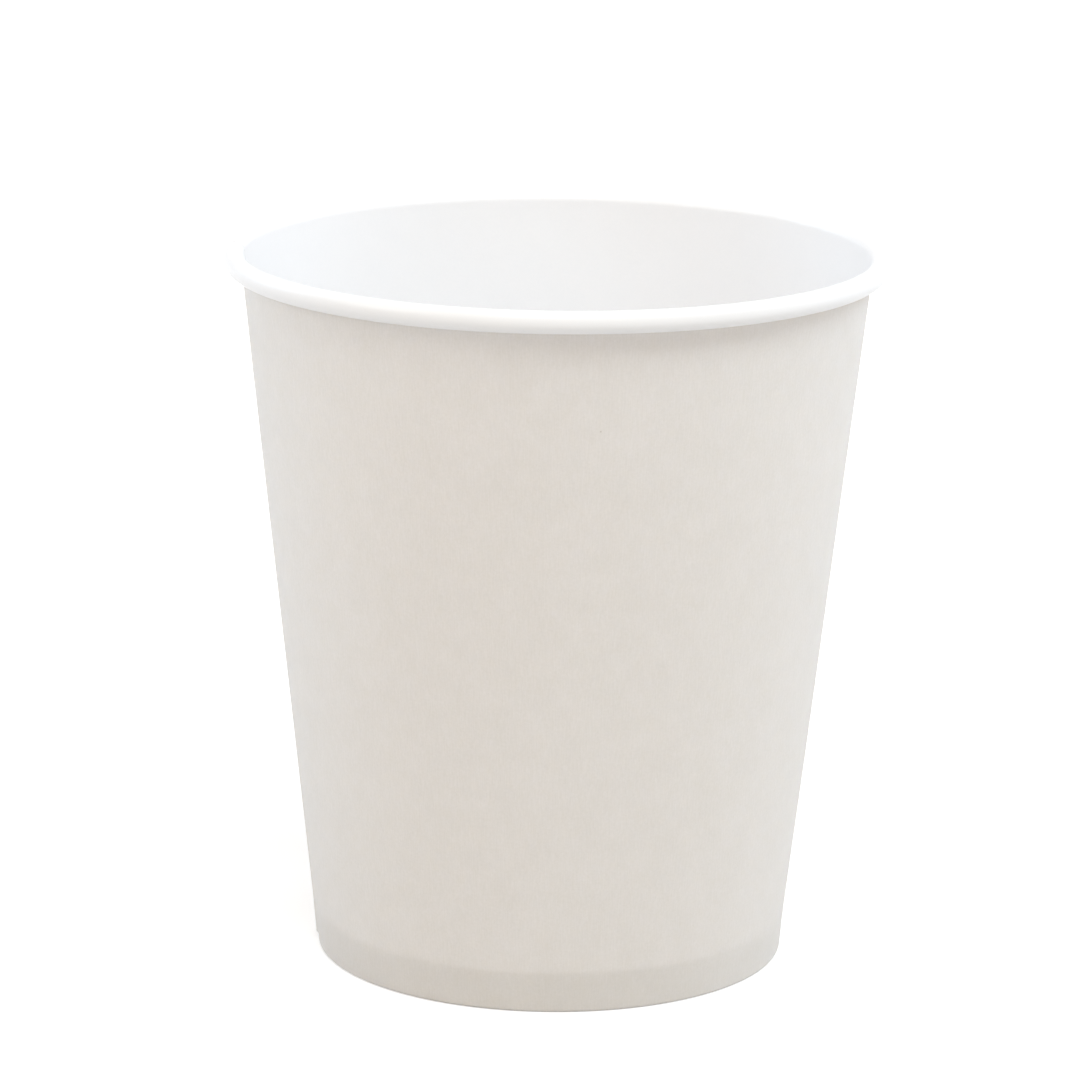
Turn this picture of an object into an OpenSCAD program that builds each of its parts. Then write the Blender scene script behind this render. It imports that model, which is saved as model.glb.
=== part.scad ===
// Paper coffee cup: a single-wall hot cup of coated board, as it comes off a cup-forming machine.
// One blank makes the side wall with its rolled rim, lapped seam and folded foot.
// A second, round blank makes the bottom.
// Millimetres, +Z up. The cup's axis is Z, and the foot stands on Z = 0. The seam is on the -X side.

/* [Cup] */
// Height of the whole cup, from the foot to the top of the rim
cup_h = 79.3; // [70:0.1:95]
// Outside diameter over the rolled rim, the size that lids are made to
rim_od = 73; // [70:0.5:80]
// Outside diameter of the foot, where the wall's outer face would meet the floor
foot_od = 52; // [48:0.1:56]

/* [Board] */
// Thickness of the side wall's board with its coating
wall_t = 0.28; // [0.22:0.01:0.36]
// Thickness of the bottom's board with its coating
disc_t = 0.27; // [0.22:0.01:0.36]
// Film of coating between two sealed faces
seal = 0.02; // [0.01:0.01:0.04]

/* [Rolled rim] */
// Width of the roll across its section, over the board's faces
roll_w = 2.15; // [2:0.05:2.6]
// Height of the roll over all
roll_h = 2.45; // [2.3:0.05:3.2]
// Gap between the wall's outer face and the curl's tucked end
roll_gap = 0.12; // [0.08:0.01:0.2]
// How far the tucked end turns on inside the roll, past the roll's lowest point
tuck_turn = 135; // [110:5:150]

/* [Foot] */
// Height of the pressed band round the foot, which is also the recess under the bottom
foot_h = 4.6; // [4:0.1:7]
// Lean of the pressed band, in degrees from upright
foot_lean = 5; // [3:0.1:6]
// Distance from the hem's cut edge up to the underside of the bottom
hem_gap = 0.9; // [0.7:0.1:1.5]
// Radius inside the wall's fold at the foot
fold_r = 0.05; // [0.04:0.01:0.08]
// Radius inside the bottom's bend, from its flat to its skirt
bend_r = 0.22; // [0.15:0.01:0.35]
// Clearance between the skirt's cut edge and the inside of the wall's fold
skirt_gap = 0.12; // [0.06:0.02:0.3]

/* [Seam] */
// Width of the lap, where the blank's two ends are sealed together
lap_w = 7; // [5:0.5:9]
// Width over which the outer layer comes down beside the inner layer's cut edge
lap_ramp = 1.2; // [0.8:0.1:2]
// Direction of the seam round the cup, in degrees from +X
seam_at = 172; // [0:1:359]
// Width of the fine groove along the inner layer's cut edge
groove_w = 0.3; // [0.2:0.05:0.5]
// Depth of that groove
groove_d = 0.1; // [0.06:0.01:0.14]
// Height at which the outer layer starts, above the foot's fold
lap_start = 0.5; // [0.4:0.05:1]
// Distance below the roll at which the outer layer ends
lap_end_gap = 0.1; // [0.05:0.05:0.5]

/* [Hidden] */
$fn = 96;

// the cup's outer radii
rim_r = rim_od / 2;
foot_r = foot_od / 2;

// the curl's arcs: the top one, the lower outer one and the tucked one
curl_r = roll_w / 2;
curl_x = rim_r - curl_r;
curl_top_z = cup_h - curl_r;
curl_low_z = cup_h - roll_h + curl_r;
tuck_r = curl_r - wall_t - roll_gap;
tuck_z = cup_h - roll_h + tuck_r;

// the foot's stack of board: wall, skirt and hem, with a seal between each two
skirt_depth = wall_t + seal;
hem_depth = skirt_depth + disc_t + seal;
stack_w = hem_depth + wall_t;
hem_h = foot_h - hem_gap;
fold_out = fold_r + wall_t;

// the bottom's bend, its upper face and its skirt's cut edge
bend_out = bend_r + disc_t;
disc_top = foot_h + disc_t;
bend_z = disc_top - bend_out;
skirt_z = wall_t + skirt_gap;

// slack by which cutting tools pass the board's faces, and the reach of the largest ones
slack = 0.5;
reach = rim_od + cup_h;

// a straight's end lies this far inside the circle that it meets, so that the two cross
bite = 0.0002;

// Names of the sub-parts
// Sub-part to draw, or all of them

// a direction square to a face that leans outward by an angle
function out_of(lean) = [cos(lean), -sin(lean)];

// a point in the band's section, at a height and at a depth behind the band's outer face
function in_band(z, depth) = [foot_r + z * tan(foot_lean) - depth / cos(foot_lean), z];

// the cone runs from the band's upper edge, tangent to the curl
band_top = in_band(foot_h, 0);
curl_centre = [curl_x, curl_top_z];
to_curl = curl_centre - band_top;
cone_lean = atan2(to_curl[0], to_curl[1]) - asin((curl_r - wall_t) / norm(to_curl));

// a point in the cone's section, at a height and at a depth behind the cone's outer face
function in_cone(z, depth) =
    band_top + (z - foot_h) * [tan(cone_lean), 1] - [depth / cos(cone_lean), 0];

// centres of the fold's two corners and of the bottom's bend
fold_outer = in_band(fold_out, fold_out);
fold_inner = in_band(fold_out, stack_w - fold_out);
bend_centre = in_band(bend_z, skirt_depth + bend_out);

// the lap's outer layer ends just below the roll
lap_top = cup_h - roll_h - lap_end_gap;

// where the lap's outer layer starts to come down, and where it is down, on a cone of radius r
function ridge_x(r) = sqrt((r + wall_t) * (r + wall_t) - lap_w * lap_w / 4);
function valley_x(r) = sqrt(r * r - (lap_w / 2 + lap_ramp) * (lap_w / 2 + lap_ramp));
high_r = in_cone(lap_top, 0)[0];
ridge_low = ridge_x(band_top[0]);
ridge_high = ridge_x(high_r);
ridge_lean = atan2(ridge_high - ridge_low, lap_top - foot_h);
ramp_slope = atan2(ridge_high - valley_x(high_r), lap_ramp);

// the roll's outline, set in by d
module roll_outline(d) {
    translate(curl_centre) circle(curl_r - d);
    translate([curl_x, curl_low_z]) circle(curl_r - d);
    translate([curl_x - curl_r + d, curl_low_z])
        square([2 * (curl_r - d), curl_top_z - curl_low_z]);
}

// what lies outward of the board's inner face, set in by d: the roll, and beside the cone
module beyond_wall(d) {
    roll_outline(d);
    polygon([
        curl_centre,
        curl_centre - (curl_r - d - bite) * out_of(cone_lean),
        in_cone(foot_h, wall_t - d),
        [curl_x, foot_h]
    ]);
}

// the roll's tucked end in section, turning on from its lowest point
module tucked_end() {
    far = 2 * tuck_r;
    turn = tuck_turn / 4;
    translate([curl_x, tuck_z]) intersection() {
        difference() {
            circle(tuck_r);
            circle(tuck_r - wall_t);
        }
        polygon(concat(
            [[0, 0]],
            [for (i = [0 : 4]) far * [-sin(i * turn), -cos(i * turn)]]
        ));
    }
}

// the foot's outline under and beside its stack of board, set in by d
module foot_outline(d, hem_top) {
    translate(fold_outer) circle(fold_out - d);
    translate(fold_inner) circle(fold_out - d);
    polygon([
        [fold_inner[0], d],
        [fold_outer[0], d],
        fold_outer + (fold_out - d - bite) * out_of(foot_lean),
        in_cone(foot_h, d),
        in_cone(foot_h, wall_t),
        in_band(hem_top, skirt_depth),
        in_band(hem_top, stack_w - d),
        fold_inner - (fold_out - d - bite) * out_of(foot_lean)
    ]);
}

// the blank once round the cup, from the curl's cut end to the hem's
module wrapped_blank() {
    rotate_extrude() {
        difference() {
            beyond_wall(0);
            beyond_wall(wall_t);
        }
        tucked_end();
        difference() {
            foot_outline(0, hem_h);
            foot_outline(wall_t, foot_h);
        }
    }
}

// a slab square to the seam, from y0 to y1 across it and from z0 up
module across_seam(y0, y1, z0) {
    translate([0, y0, z0]) cube([reach, y1 - y0, cup_h]);
}

// the lap's outer layer: a cut edge on one side, a ramp down beside the inner cut edge
module lap_layer() {
    root = wall_t / 2;
    intersection() {
        rotate_extrude() polygon([
            in_band(lap_start, root),
            in_band(lap_start, -wall_t),
            in_cone(foot_h, -wall_t),
            in_cone(lap_top, -wall_t),
            in_cone(lap_top, root),
            in_cone(foot_h, root)
        ]);
        difference() {
            across_seam(-lap_w / 2, lap_w / 2 + 2 * lap_ramp, 0);
            translate([ridge_low, lap_w / 2, foot_h])
                rotate([0, ridge_lean, 0])
                rotate([0, 0, ramp_slope])
                translate([0, -reach / 2, -reach / 2]) cube(reach);
        }
    }
}

// the fine groove that the inner layer's cut edge leaves, up the inside and over the roll
module edge_groove() {
    intersection() {
        rotate_extrude() difference() {
            beyond_wall(-slack);
            beyond_wall(groove_d);
        }
        across_seam(lap_w / 2, lap_w / 2 + groove_w, disc_top + slack);
    }
}

// side wall: the wrapped blank with its lap and the groove beside it
module side_wall() {
    color([0.93, 0.91, 0.88]) rotate([0, 0, seam_at]) difference() {
        union() {
            wrapped_blank();
            lap_layer();
        }
        edge_groove();
    }
}

// what lies under the bottom and inside its skirt, set in by d
module under_bottom(d) {
    translate(bend_centre) circle(bend_out - d);
    polygon([
        [0, skirt_z],
        in_band(skirt_z, skirt_depth + d),
        bend_centre + (bend_out - d - bite) * out_of(foot_lean),
        [bend_centre[0], disc_top - d],
        [0, disc_top - d]
    ]);
}

// bottom: a round blank with its edge turned down to a skirt
module bottom_disc() {
    color([0.98, 0.98, 0.97]) rotate_extrude() difference() {
        under_bottom(0);
        under_bottom(disc_t);
    }
}

side_wall();
bottom_disc();
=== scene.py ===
import bpy
import math
import numpy as np
from mathutils import Matrix, Vector


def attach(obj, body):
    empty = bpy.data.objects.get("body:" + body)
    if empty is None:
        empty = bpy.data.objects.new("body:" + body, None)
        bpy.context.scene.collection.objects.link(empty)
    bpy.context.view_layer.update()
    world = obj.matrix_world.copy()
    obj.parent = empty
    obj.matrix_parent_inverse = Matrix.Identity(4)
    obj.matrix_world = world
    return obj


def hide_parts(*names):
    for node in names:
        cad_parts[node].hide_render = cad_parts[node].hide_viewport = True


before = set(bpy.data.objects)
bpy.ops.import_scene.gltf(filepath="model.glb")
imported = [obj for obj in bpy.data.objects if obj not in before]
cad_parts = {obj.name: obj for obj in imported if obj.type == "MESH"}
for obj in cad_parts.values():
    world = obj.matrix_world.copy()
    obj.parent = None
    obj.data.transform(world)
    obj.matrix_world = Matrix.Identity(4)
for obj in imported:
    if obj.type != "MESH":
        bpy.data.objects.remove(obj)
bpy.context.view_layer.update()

MM = 0.001
SAME = 1e-6  # lengths that differ by less than this are the same

# ------------------------------------------------------------------ the cup's sizes in millimetres, as in part.scad
CUP_H, RIM_R, FOOT_R = 79.3, 36.5, 26.0
WALL_T, DISC_T, SEAL = 0.28, 0.27, 0.02
ROLL_W, ROLL_H, ROLL_GAP, TUCK_TURN = 2.15, 2.45, 0.12, 135.0
FOOT_H, FOOT_LEAN, HEM_GAP = 4.6, math.radians(5), 0.9
FOLD_R, BEND_R, SKIRT_GAP = 0.05, 0.22, 0.12
LAP_W, LAP_RAMP, SEAM_AT = 7.0, 1.2, math.radians(172)
GROOVE_W, GROOVE_D, LAP_START, LAP_END_GAP = 0.3, 0.1, 0.5, 0.1

CURL_R = ROLL_W / 2
CURL_X = RIM_R - CURL_R
CURL_TOP = np.array([CURL_X, CUP_H - CURL_R])
TUCK_R = CURL_R - WALL_T - ROLL_GAP
TUCK = np.array([CURL_X, CUP_H - ROLL_H + TUCK_R])
SKIRT_DEPTH = WALL_T + SEAL
HEM_DEPTH = SKIRT_DEPTH + DISC_T + SEAL
STACK_W = HEM_DEPTH + WALL_T
HEM_H = FOOT_H - HEM_GAP
FOLD_OUT = FOLD_R + WALL_T
BEND_OUT = BEND_R + DISC_T
DISC_TOP = FOOT_H + DISC_T
LAP_TOP = CUP_H - ROLL_H - LAP_END_GAP


# ------------------------------------------------------------------ sections, as points of radius and height
def out_of(lean):
    return np.array([math.cos(lean), -math.sin(lean)])


def in_band(z, depth):
    """The point of the foot's pressed band at a height, and at a depth from the band's outer face."""
    return np.array([FOOT_R + z * math.tan(FOOT_LEAN) - depth / math.cos(FOOT_LEAN), z])


BAND_TOP = in_band(FOOT_H, 0)
TO_CURL = CURL_TOP - BAND_TOP
CONE_LEAN = math.atan2(TO_CURL[0], TO_CURL[1]) - math.asin((CURL_R - WALL_T) / np.hypot(*TO_CURL))
CONE_DEG, FOOT_DEG = math.degrees(CONE_LEAN), math.degrees(FOOT_LEAN)


def in_cone(z, depth):
    """The same for the cone above the band."""
    up = (z - FOOT_H) * np.array([math.tan(CONE_LEAN), 1])
    return BAND_TOP + up - np.array([depth / math.cos(CONE_LEAN), 0])


def arc(centre, r, a, b, n):
    t = np.radians(np.linspace(a, b, n + 1))
    return np.stack([centre[0] + r * np.cos(t), centre[1] + r * np.sin(t)], -1)


def line(p, q, cuts):
    """From p to q. cuts is a number of equal steps, or the heights to stop at on the way."""
    if isinstance(cuts, int):
        t = np.linspace(0, 1, cuts + 1)
    else:
        t = np.array([0] + [(z - p[1]) / (q[1] - p[1]) for z in cuts] + [1])
    return np.asarray(p) * (1 - t[:, None]) + np.asarray(q) * t[:, None]


def chain(runs):
    """Joins runs of points into one, each point with the name of its run."""
    kinds, pts = [], []
    for kind, p in runs:
        if pts and np.hypot(*(pts[-1] - p[0])) < SAME:
            p = p[1:]
        kinds += [kind] * len(p)
        pts += list(p)
    return np.array(kinds), np.array(pts)


def smooth(t):
    t = np.clip(t, 0, 1)
    return t * t * (3 - 2 * t)


def ripple(waves, theta, z=0.0):
    """The sum of some waves round the cup. Each has a height, a number, a phase, and a turn with z."""
    return sum(h * np.sin(n * theta + phase + turn * z) for h, n, phase, turn in waves)


# ------------------------------------------------------------------ the side wall's section
STEP = 0.004  # a sharp step in the surface is this wide
GROOVE_FOOT = DISC_TOP + 0.5
BELOW_CURL = CURL_TOP[1] - 0.08  # a ring here keeps the curl's shading out of the wall's
CONE_TOP, CONE_FOOT, CONE_RINGS, LAST_RING = 75.6, 7.2, 34, 5.75
WALL_CUTS = [BELOW_CURL, LAP_TOP + STEP, LAP_TOP, *np.linspace(CONE_TOP, CONE_FOOT, CONE_RINGS),
             LAST_RING, GROOVE_FOOT + STEP, GROOVE_FOOT]
BAND_CUTS = [4.05, 3.3, 2.4, 1.6, 1.0, LAP_START, LAP_START - STEP]
TUCK_N, ROLL_N, CURL_N, FOLD_O_N, FOLD_I_N, HEM_N = 14, 28, 10, 5, 6, 6  # steps in each run
FOLD_O = in_band(FOLD_OUT, FOLD_OUT)
FOLD_I = in_band(FOLD_OUT, STACK_W - FOLD_OUT)


def rounded(d):
    """The roll's outer half from its lowest point up: half an ellipse within part.scad's outline."""
    t = np.radians(np.linspace(-90, 90, ROLL_N + 1))
    a, b = CURL_R, ROLL_H / 2
    square = np.stack([np.cos(t) / a, np.sin(t) / b], -1)
    square /= np.hypot(square[:, 0], square[:, 1])[:, None]
    return np.stack([CURL_X + a * np.cos(t), CUP_H - b + b * np.sin(t)], -1) - d * square


def board_face(d):
    """The blank's face at depth d behind its coated one, from the curl's cut end to the hem's."""
    curl_end = CURL_TOP - (CURL_R - d) * out_of(CONE_LEAN)
    crease = in_cone(FOOT_H, WALL_T - d)
    fold_start = FOLD_O + (FOLD_R + d) * out_of(FOOT_LEAN)
    fold_end = FOLD_I - (FOLD_R + d) * out_of(FOOT_LEAN)
    return chain([
        ("tuck", arc(TUCK, TUCK_R - d, -90 - TUCK_TURN, -90, TUCK_N)),
        ("roll", rounded(d)),
        ("roll", arc(CURL_TOP, CURL_R - d, 90, 180 - CONE_DEG, CURL_N)),
        ("wall", line(curl_end, crease, WALL_CUTS)),
        ("band", line(crease, fold_start, BAND_CUTS)),
        ("fold", arc(FOLD_O, FOLD_R + d, -FOOT_DEG, -90, FOLD_O_N)),
        ("fold", arc(FOLD_I, FOLD_R + d, -90, -180 - FOOT_DEG, FOLD_I_N)),
        ("hem", line(fold_end, in_band(HEM_H, HEM_DEPTH + d), HEM_N)),
    ])


kinds, coated = board_face(0.0)
_, bare = board_face(WALL_T)
n_face = len(kinds)

# ------------------------------------------------------------------ the side wall's columns
# Near the seam they run at constant distances y from it, and elsewhere evenly round the cup.
SIDE = 8.0  # the near ones reach this far to each side
KNURL, PER_RIDGE = 1.6, 4  # a ridge of the hem's knurling: about its width, and its columns
FAR_RIDGES = 88  # the ridges away from the seam
GROOVE_SLOPE = 0.02  # the width of each of the groove's sides
half = LAP_W / 2
even_y = np.round(np.arange(-SIDE, SIDE + 0.01, KNURL / PER_RIDGE), 4)
even_y = even_y[(even_y <= half) | (even_y >= half + GROOVE_W)]
lap_y = [-half - STEP, -half, half, half + 0.5 * LAP_RAMP, half + 0.75 * LAP_RAMP, half + LAP_RAMP]
groove_y = [half + GROOVE_SLOPE, half + GROOVE_W - GROOVE_SLOPE]
near_y = np.array(sorted({*even_y, *lap_y, *groove_y, half + GROOVE_W}))
far_n = FAR_RIDGES * PER_RIDGE
y_of = np.concatenate([near_y, np.full(far_n - 1, np.inf)])
phase = np.concatenate([(near_y + SIDE) / KNURL, np.arange(1, far_n) / PER_RIDGE])

# How much of the lap's outer layer a column has: none up to the cut edge, then all of it, then a ramp
lap_here = np.where(y_of < -half, 0.0, 1 - smooth((y_of - half) / LAP_RAMP))
in_groove = (y_of > groove_y[0] - SAME) & (y_of < groove_y[1] + SAME)
lap_edge = int(np.argmin(np.abs(y_of + half + STEP)))


def columns(r):
    """Each column's angle from the seam, on a ring of radius r."""
    near = np.arcsin(near_y / r)
    far = np.linspace(near[-1], 2 * math.pi - near[-1], far_n + 1)[1:-1]
    return np.concatenate([near, far])


# ------------------------------------------------------------------ the side wall
# The slight unevenness of wrapped board: long and low, and none at the roll and the foot
WAVES = ((0.022, 2, 0.8, 0.0), (0.016, 3, -1.1, 1 / 31), (0.009, 5, 0.4, -1 / 23),
         (0.006, 9, 2.0, 1 / 12), (0.004, 13, 0.0, -1 / 9))
WAVES_FOOT, WAVES_RISE, WAVES_TOP, WAVES_FALL = 9.0, 14.0, 76.5, 12.0
# Where the curling die pressed the roll a hair less evenly: always inward, so the rim's size holds
DIP, DIP_WAVES = 0.010, ((0.006, 3, 0.5, 0.0), (0.004, 7, 1.9, 0.0))
DIP_R, DIP_FADE = 34.4, 1.2  # it fades towards the roll's inner side
ROLL_MIDDLE = np.array([CURL_X, CUP_H - ROLL_H / 2])
# The hem's knurling: its depth, the heights between which it is pressed, and how it fades there
KNURL_D, KNURL_FOOT, KNURL_TOP, KNURL_FADE = 0.055, 0.55, HEM_H - 0.12, 0.35


def has_lap(kind, z):
    return kind == "wall" and z <= LAP_TOP + SAME or kind == "band" and z >= LAP_START - SAME


def has_groove(kind, z):
    return kind == "roll" or kind == "wall" and z >= GROOVE_FOOT + STEP - SAME


def ring(i, on_bare):
    """One ring of the side wall's skin: point i of the coated or of the bare face."""
    p, q = (bare[i], coated[i]) if on_bare else (coated[i], bare[i])
    kind = kinds[i]
    theta = columns(p[0])
    r = np.full(len(theta), p[0])
    z = np.full(len(theta), p[1])
    if kind in ("wall", "band"):
        fade = smooth((p[1] - WAVES_FOOT) / WAVES_RISE) * smooth((WAVES_TOP - p[1]) / WAVES_FALL)
        r += fade * ripple(WAVES, theta, p[1])
    if on_bare and has_lap(kind, p[1]):
        r += lap_here * WALL_T / math.cos(CONE_LEAN if kind == "wall" else FOOT_LEAN)
    if not on_bare and has_groove(kind, p[1]):
        inward = (q - p) / WALL_T  # towards the board's other face
        r += in_groove * GROOVE_D * inward[0]
        z += in_groove * GROOVE_D * inward[1]
    if kind == "roll":
        dip = (DIP + ripple(DIP_WAVES, theta)) * min(1, abs(p[0] - DIP_R) / DIP_FADE)
        to_middle = (ROLL_MIDDLE - p) / max(np.hypot(*(ROLL_MIDDLE - p)), SAME)
        r += dip * to_middle[0]
        z += dip * to_middle[1]
    if on_bare and kind == "hem":
        fade = smooth((p[1] - KNURL_FOOT) / KNURL_FADE) * smooth((KNURL_TOP - p[1]) / KNURL_FADE)
        r += fade * KNURL_D * (0.5 - 0.5 * np.cos(2 * math.pi * phase))
    a = theta + SEAM_AT
    return np.stack([r * np.cos(a), r * np.sin(a), z], -1)


def strips(rings, slot, closed):
    """The faces between rings of equal length. slot gives each one's material by its ring and column."""
    n, m = len(rings), len(rings[0])
    faces, slots = [], []
    for i in range(n if closed else n - 1):
        a, b = i * m, (i + 1) % n * m
        for j in range(m):
            l = (j + 1) % m
            faces.append((a + j, a + l, b + l, b + j))
            slots.append(slot(i, j))
    return faces, slots


SHARP = math.radians(34)  # edges sharper than this aren't smoothed over


def add_skin(name, verts, faces, slots):
    mesh = bpy.data.meshes.new(name)
    mesh.from_pydata([tuple(v) for v in verts * MM], [], faces)
    mesh.polygons.foreach_set("material_index", np.array(slots, dtype=np.int32))
    mesh.polygons.foreach_set("use_smooth", np.ones(len(faces), dtype=bool))
    mesh.validate()
    mesh.set_sharp_from_angle(angle=SHARP)
    mesh.update()
    ob = bpy.data.objects.new(name, mesh)
    bpy.context.scene.collection.objects.link(ob)
    return ob


COATED, BARE, CUT = 0, 1, 2  # material slots


def wall_slot(i, j):
    if i in (n_face - 1, 2 * n_face - 1):
        return CUT
    if i < n_face:
        return COATED
    kind = kinds[2 * n_face - 1 - i]
    return CUT if j == lap_edge and kind in ("wall", "band") else BARE


wall_rings = [ring(i, False) for i in range(n_face)] + [ring(i, True) for i in reversed(range(n_face))]
wall = add_skin("wall_board", np.concatenate(wall_rings), *strips(wall_rings, wall_slot, closed=True))

# ------------------------------------------------------------------ the bottom
DISC_N, BEND_N, SKIRT_N = 384, 8, 6
DISC_RADII = np.concatenate([[0.35], np.linspace(1.6, 25.2, 20)])
DISC_ANGLES = np.linspace(0, 2 * math.pi, DISC_N, endpoint=False)
BEND = in_band(DISC_TOP - BEND_OUT, SKIRT_DEPTH + BEND_OUT)
SKIRT_Z = WALL_T + SKIRT_GAP
# The bottom is pressed up from below: a low crown, less even towards the edge, and flat by the bend
CROWN, CROWN_DROP = 0.09, 0.03
TILT, UNEVEN = ((0.018, 2, 0.6, 0.0),), ((0.010, 3, 0.0, 1 / 6),)
CROWN_R, SAG_EDGE, SAG_FADE = 25.0, 24.6, 9.0


def disc_face(d):
    """The bottom's upper face, or a face at depth d below it, from near the middle to the skirt's cut edge."""
    flat = np.stack([DISC_RADII, np.full(len(DISC_RADII), DISC_TOP - d)], -1)
    bend = arc(BEND, BEND_OUT - d, 90, -FOOT_DEG, BEND_N)
    skirt = line(bend[-1], in_band(SKIRT_Z, SKIRT_DEPTH + d), SKIRT_N)
    return np.concatenate([flat, bend, skirt[1:]])


def sag(r, theta):
    t = r / CROWN_R
    height = CROWN - CROWN_DROP * t ** 2 + ripple(TILT, theta) * t + ripple(UNEVEN, theta, r)
    return smooth((SAG_EDGE - r) / SAG_FADE) * height


def disc_ring(p):
    x, y = p[0] * np.cos(DISC_ANGLES), p[0] * np.sin(DISC_ANGLES)
    return np.stack([x, y, p[1] + sag(p[0], DISC_ANGLES)], -1)


upper, under = disc_face(0.0), disc_face(DISC_T)
disc_rings = [disc_ring(p) for p in (*upper, *under[::-1])]


def disc_slot(i, j):
    return COATED if i < len(upper) - 1 else CUT if i == len(upper) - 1 else BARE


faces, slots = strips(disc_rings, disc_slot, closed=False)
middles = [[0, 0, z + sag(0.0, 0.0)] for z in (DISC_TOP, FOOT_H)]
last = (len(disc_rings) - 1) * DISC_N
top_middle, under_middle = last + DISC_N, last + DISC_N + 1
turn = [(j, (j + 1) % DISC_N) for j in range(DISC_N)]
faces += [(top_middle, l, j) for j, l in turn] + [(under_middle, last + j, last + l) for j, l in turn]
slots += [COATED] * DISC_N + [BARE] * DISC_N
disc = add_skin("bottom_board", np.concatenate([*disc_rings, middles]), faces, slots)

for ob in (wall, disc):
    # the skins are closed, so their normals can all be turned outward
    bpy.context.view_layer.objects.active = ob
    ob.select_set(True)
    bpy.ops.object.mode_set(mode="EDIT")
    bpy.ops.mesh.select_all(action="SELECT")
    bpy.ops.mesh.normals_make_consistent(inside=False)
    bpy.ops.object.mode_set(mode="OBJECT")
    ob.select_set(False)


# ------------------------------------------------------------------ node trees
class Nodes:
    """Short calls for building a node tree of a material or a world."""

    def __init__(self, owner):
        owner.use_nodes = True
        self.tree = owner.node_tree
        self.tree.nodes.clear()

    def put(self, sort, inputs=(), **props):
        """A new node. An input is a value, a socket, or a node whose first output is meant."""
        node = self.tree.nodes.new(sort)
        for k, v in props.items():
            setattr(node, k, v)
        for k, v in dict(inputs).items():
            if isinstance(v, bpy.types.Node):
                v = v.outputs[0]
            if isinstance(v, bpy.types.NodeSocket):
                self.tree.links.new(v, node.inputs[k])
            else:
                node.inputs[k].default_value = v
        return node

    def math(self, op, a, b):
        return self.put("ShaderNodeMath", {0: a, 1: b}, operation=op)

    def mapped(self, v, lo, hi, a, b):
        return self.put("ShaderNodeMapRange",
                        {"Value": v, "From Min": lo, "From Max": hi, "To Min": a, "To Max": b})

    def noise(self, vec, scale, rough, dimensions="3D"):
        return self.put("ShaderNodeTexNoise", {"Vector": vec, "Scale": scale, "Detail": 1.0, "Roughness": rough},
                        noise_dimensions=dimensions).outputs["Fac"]

    def mix(self, fac, a, b):
        return self.put("ShaderNodeMix", {0: fac, 6: a, 7: b}, data_type="RGBA").outputs[2]

    def where(self):
        return self.put("ShaderNodeTexCoord").outputs["Object"]

    def seen(self):
        """1 where the camera looks, also in gloss and through glass, and 0 for what lights the cup."""
        ray = self.put("ShaderNodeLightPath").outputs
        through = self.math("MAXIMUM", ray["Is Glossy Ray"], ray["Is Transmission Ray"])
        return self.math("MAXIMUM", ray["Is Camera Ray"], through)


# ------------------------------------------------------------------ materials
CLOUDS, GRAINS, SPECKS = 330.0, 3600.0, 420.0  # cells in a metre
CLOUD_ROUGH, FINE_ROUGH = 0.55, 0.6  # the noise's own roughness, for the clouds and for grain and fibres
# For each layer: the range of its height, and the tone from dark to light that the range becomes
CLOUD_TONE, GRAIN_TONE, FIBRE_TONE = (0.3, 0.7, -0.3, 0.3), (0.25, 0.75, -0.55, 0.55), (0.0, 1.0, -0.35, 0.45)
TONE = 1.3  # the layers' tones together don't go beyond this, dark or light
CLOUD_RELIEF, GRAIN_RELIEF, FIBRE_RELIEF = 0.8, 0.5, 0.55
BUMP = 0.0000075  # metres
FIBRE_W, FIBRE_FLAT = 0.00016, 0.085  # a fibre's width in metres, and its width over its length
FIBRE_LAYERS = ((0.5, 0.0), (1.63, 0.17))  # each layer's direction and shift
FIBRE_RANGE = (0.45, 0.75)  # the part of the noise that makes the strands
SPECK, SPECK_R, SPECK_FEW, SPECK_DARK = (150, 132, 110), (0.02, 0.05), 0.93, 0.35
SPREAD, SPREAD_RGB = 0.0005, (1.0, 1.05, 1.15)  # how far light goes in bare board, in metres
FILM, FILM_ROUGH, FILM_IOR = 0.8, 0.3, 1.5  # the coating's weight, roughness and index
SHINE, ROUGH_SPAN = 0.35, 0.05  # the board's own gloss, and how far its roughness follows the tone
MEAN_R = 0.031  # the cup's mean radius in metres
JOIN = SEAM_AT - 0.12  # the coordinates round the cup end here, at the lap's cut edge


def lin(*srgb):
    """A colour from its three numbers of 0 to 255."""
    return tuple((c / 255 / 12.92 if c <= 10 else ((c / 255 + 0.055) / 1.055) ** 2.4) for c in srgb) + (1.0,)


def round_cup(n, where):
    """Coordinates that lie in the board, in metres: along it round the cup, and up it."""
    turned = n.put("ShaderNodeVectorRotate", {"Vector": where, "Angle": math.pi - JOIN}, rotation_type="Z_AXIS")
    xyz = n.put("ShaderNodeSeparateXYZ", {"Vector": turned}).outputs
    along = n.math("MULTIPLY", n.math("ARCTAN2", xyz["Y"], xyz["X"]), MEAN_R)
    return n.put("ShaderNodeCombineXYZ", {"X": along, "Y": xyz["Z"], "Z": 0.0})


def fibres(n, vec):
    """Thin strands lying in two directions: noise stretched twelve to one, as a height from 0 to 1."""
    layers = []
    for angle, shift in FIBRE_LAYERS:
        turned = n.put("ShaderNodeMapping", {"Vector": vec, "Rotation": (0, 0, angle), "Location": (shift, 0, 0),
                                             "Scale": (1 / FIBRE_W, FIBRE_FLAT / FIBRE_W, 1)})
        layers.append(n.noise(turned, 1.0, FINE_ROUGH, "2D"))
    return n.mapped(n.math("MAXIMUM", *layers), *FIBRE_RANGE, 0.0, 1.0)


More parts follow.
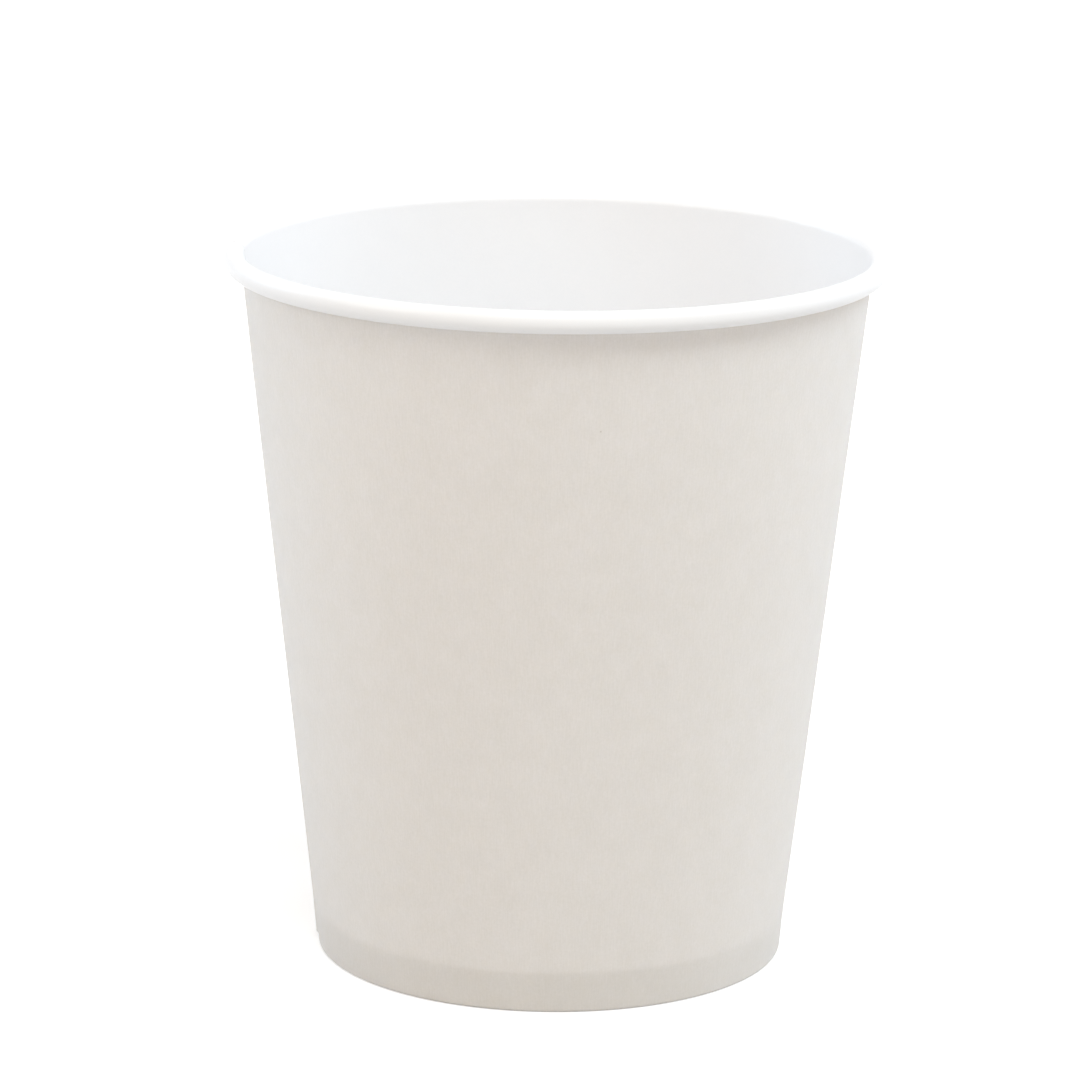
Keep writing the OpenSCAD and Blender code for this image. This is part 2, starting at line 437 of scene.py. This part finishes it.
def specks(n, where, colour):
    """A few darker specks, one or two tenths of a millimetre across."""
    dots = n.put("ShaderNodeTexVoronoi", {"Vector": where, "Scale": SPECKS, "Randomness": 1.0}).outputs
    near = n.mapped(dots["Distance"], *SPECK_R, 1.0, 0.0)
    few = n.math("GREATER_THAN", n.put("ShaderNodeSeparateColor", {"Color": dots["Color"]}), SPECK_FEW)
    here = n.math("MULTIPLY", n.math("MULTIPLY", near, few), SPECK_DARK)
    return n.mix(here, colour, lin(*SPECK))


def board(name, light, dark, rough, relief=1.0, flat=False, film=False, speckled=False):
    """Paper board: cloudy formation and grain. Bare board has crossed fibres too, and light goes into it.

    A film hides the fibres and keeps the light out. light and dark are the ends of the board's tone, and
    flat says that its fibres lie level, as in the bottom.
    """
    mat = bpy.data.materials.new(name)
    n = Nodes(mat)
    where = n.where()
    cloud = n.noise(where, CLOUDS, CLOUD_ROUGH)
    grain = n.noise(where, GRAINS, FINE_ROUGH)
    tone = n.math("ADD", n.mapped(cloud, *CLOUD_TONE), n.mapped(grain, *GRAIN_TONE))
    height = n.math("ADD", n.math("MULTIPLY", grain, GRAIN_RELIEF), n.math("MULTIPLY", cloud, CLOUD_RELIEF))
    if film:
        extra = {"Coat Weight": FILM, "Coat Roughness": FILM_ROUGH, "Coat IOR": FILM_IOR}
    else:
        extra = {"Subsurface Weight": 1.0, "Subsurface Radius": SPREAD_RGB, "Subsurface Scale": SPREAD}
        strand = fibres(n, where if flat else round_cup(n, where))
        tone = n.math("ADD", tone, n.mapped(strand, *FIBRE_TONE))
        height = n.math("ADD", height, n.math("MULTIPLY", strand, FIBRE_RELIEF))
    colour = n.mix(n.mapped(tone, -TONE, TONE, 0.0, 1.0), lin(*dark), lin(*light))
    if speckled:
        colour = specks(n, where, colour)
    shader = n.put("ShaderNodeBsdfPrincipled", {
        "Base Color": colour,
        "Roughness": n.mapped(tone, -TONE, TONE, rough - ROUGH_SPAN, rough + ROUGH_SPAN),
        "Normal": n.put("ShaderNodeBump", {"Height": height, "Strength": 1.0, "Distance": BUMP * relief}),
        "Specular IOR Level": SHINE,
        **extra,
    })
    n.put("ShaderNodeOutputMaterial", {"Surface": shader})
    return mat


coated_white = ((254, 254, 255), (249, 250, 252), 0.6)
coat_side = board("board_coated", *coated_white, relief=0.5, film=True)
bare_side = board("board_outside", (235, 231, 227), (226, 222, 216), 0.84, speckled=True)
cut_side = board("board_cut_edge", (240, 236, 228), (214, 206, 192), 0.92, relief=2.0)
disc_coat = board("bottom_coated", *coated_white, relief=0.6, film=True)
disc_bare = board("bottom_bare", (232, 228, 223), (221, 216, 208), 0.84, flat=True, speckled=True)

for ob, mats in ((wall, (coat_side, bare_side, cut_side)), (disc, (disc_coat, disc_bare, cut_side))):
    for mat in mats:
        ob.data.materials.append(mat)

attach(wall, "root")
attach(disc, "root")
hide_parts("side_wall")
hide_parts("bottom_disc")

# ------------------------------------------------------------------ floor and world
FLOOR, FLOOR_DROP = 3.0, 0.00002  # metres to each side, and below the foot
FLOOR_GREY, WHITE, AMBIENT = (0.66, 0.66, 0.66, 1), (1, 1, 1, 1), (0.532, 0.467, 0.410, 1)
# The floor's glow is a little weaker round the cup, so that its shadow isn't lost in white
NEAR_CUP, FAR_OFF, GLOW_NEAR, GLOW_FAR = 0.06, 0.30, 0.50, 0.72

floor_mesh = bpy.data.meshes.new("floor")
corners = [(-FLOOR, -FLOOR, 0), (FLOOR, -FLOOR, 0), (FLOOR, FLOOR, 0), (-FLOOR, FLOOR, 0)]
floor_mesh.from_pydata(corners, [], [(0, 1, 2, 3)])
floor = bpy.data.objects.new("floor", floor_mesh)
floor.location.z = -FLOOR_DROP
bpy.context.scene.collection.objects.link(floor)

floor_white = bpy.data.materials.new("floor_white")
n = Nodes(floor_white)
away_from_cup = n.put("ShaderNodeVectorMath", {0: n.where()}, operation="LENGTH").outputs["Value"]
level = n.mapped(away_from_cup, NEAR_CUP, FAR_OFF, GLOW_NEAR, GLOW_FAR)
matte = n.put("ShaderNodeBsdfDiffuse", {"Color": FLOOR_GREY, "Roughness": 0.0})
glow = n.put("ShaderNodeEmission", {"Color": WHITE, "Strength": n.math("MULTIPLY", n.seen(), level)})
n.put("ShaderNodeOutputMaterial", {"Surface": n.put("ShaderNodeAddShader", {0: matte, 1: glow})})
floor_white.cycles.emission_sampling = "NONE"
floor.data.materials.append(floor_white)

world = bpy.data.worlds.new("studio")
bpy.context.scene.world = world
n = Nodes(world)
ambient = n.put("ShaderNodeBackground", {"Color": AMBIENT})
backdrop = n.put("ShaderNodeBackground", {"Color": WHITE})
both = n.put("ShaderNodeMixShader", {0: n.seen(), 1: ambient, 2: backdrop})
n.put("ShaderNodeOutputWorld", {"Surface": both})

# ------------------------------------------------------------------ lamps
AIM, AWAY = Vector((0, 0, 50)), 1400  # where they point, and how far off they are, in millimetres
# Azimuth from the camera's side towards +X and elevation, in degrees; width in millimetres; watts; colour
LAMPS = {
    "over_front": (0, 58, 580, 5.3, (1.0, 1.0, 0.96)),
    "over_right": (65, 50, 580, 6.7, (0.80, 0.92, 1.0)),
    "front_left": (-65, 28, 580, 2.6, (0.98, 1.0, 0.99)),
    "side_right": (118, 22, 780, 4.1, (0.70, 0.84, 1.0)),
    "side_left": (-118, 22, 780, 4.8, (0.57, 0.78, 1.0)),
}

for name, (azimuth, elevation, width, watts, colour) in LAMPS.items():
    a, e = math.radians(azimuth), math.radians(elevation)
    to_lamp = AWAY * Vector((math.cos(e) * math.sin(a), -math.cos(e) * math.cos(a), math.sin(e)))
    data = bpy.data.lights.new(name, "AREA")
    data.shape, data.size, data.energy, data.color = "SQUARE", width * MM, watts, colour
    lamp = bpy.data.objects.new(name, data)
    turned = (-to_lamp).to_track_quat("-Z", "Y").to_matrix().to_4x4()
    lamp.matrix_world = Matrix.Translation((AIM + to_lamp) * MM) @ turned
    bpy.context.scene.collection.objects.link(lamp)

# ------------------------------------------------------------------ camera, fitted to the photograph
CAMERA_AT, LENS, SENSOR_W, CLIP = Vector((-1.536, -558.39, 183.74)), 172.62, 36.0, (0.01, 20.0)
DOWN, ROLL = math.radians(13.829), math.radians(0.677)

forward = Vector((0, math.cos(DOWN), -math.sin(DOWN)))
level_x = Vector((1, 0, 0))
level_y = level_x.cross(forward)
right = level_x * math.cos(ROLL) + level_y * math.sin(ROLL)
up = -level_x * math.sin(ROLL) + level_y * math.cos(ROLL)
cam_data = bpy.data.cameras.new("camera")
cam_data.sensor_width, cam_data.lens = SENSOR_W, LENS
cam_data.clip_start, cam_data.clip_end = CLIP
cam = bpy.data.objects.new("camera", cam_data)
pose = Matrix((right, up, -forward)).transposed().to_4x4()
pose.translation = CAMERA_AT * MM
cam.matrix_world = pose
bpy.context.scene.collection.objects.link(cam)
bpy.context.scene.camera = cam
bpy.context.scene.view_settings.view_transform = "Standard"
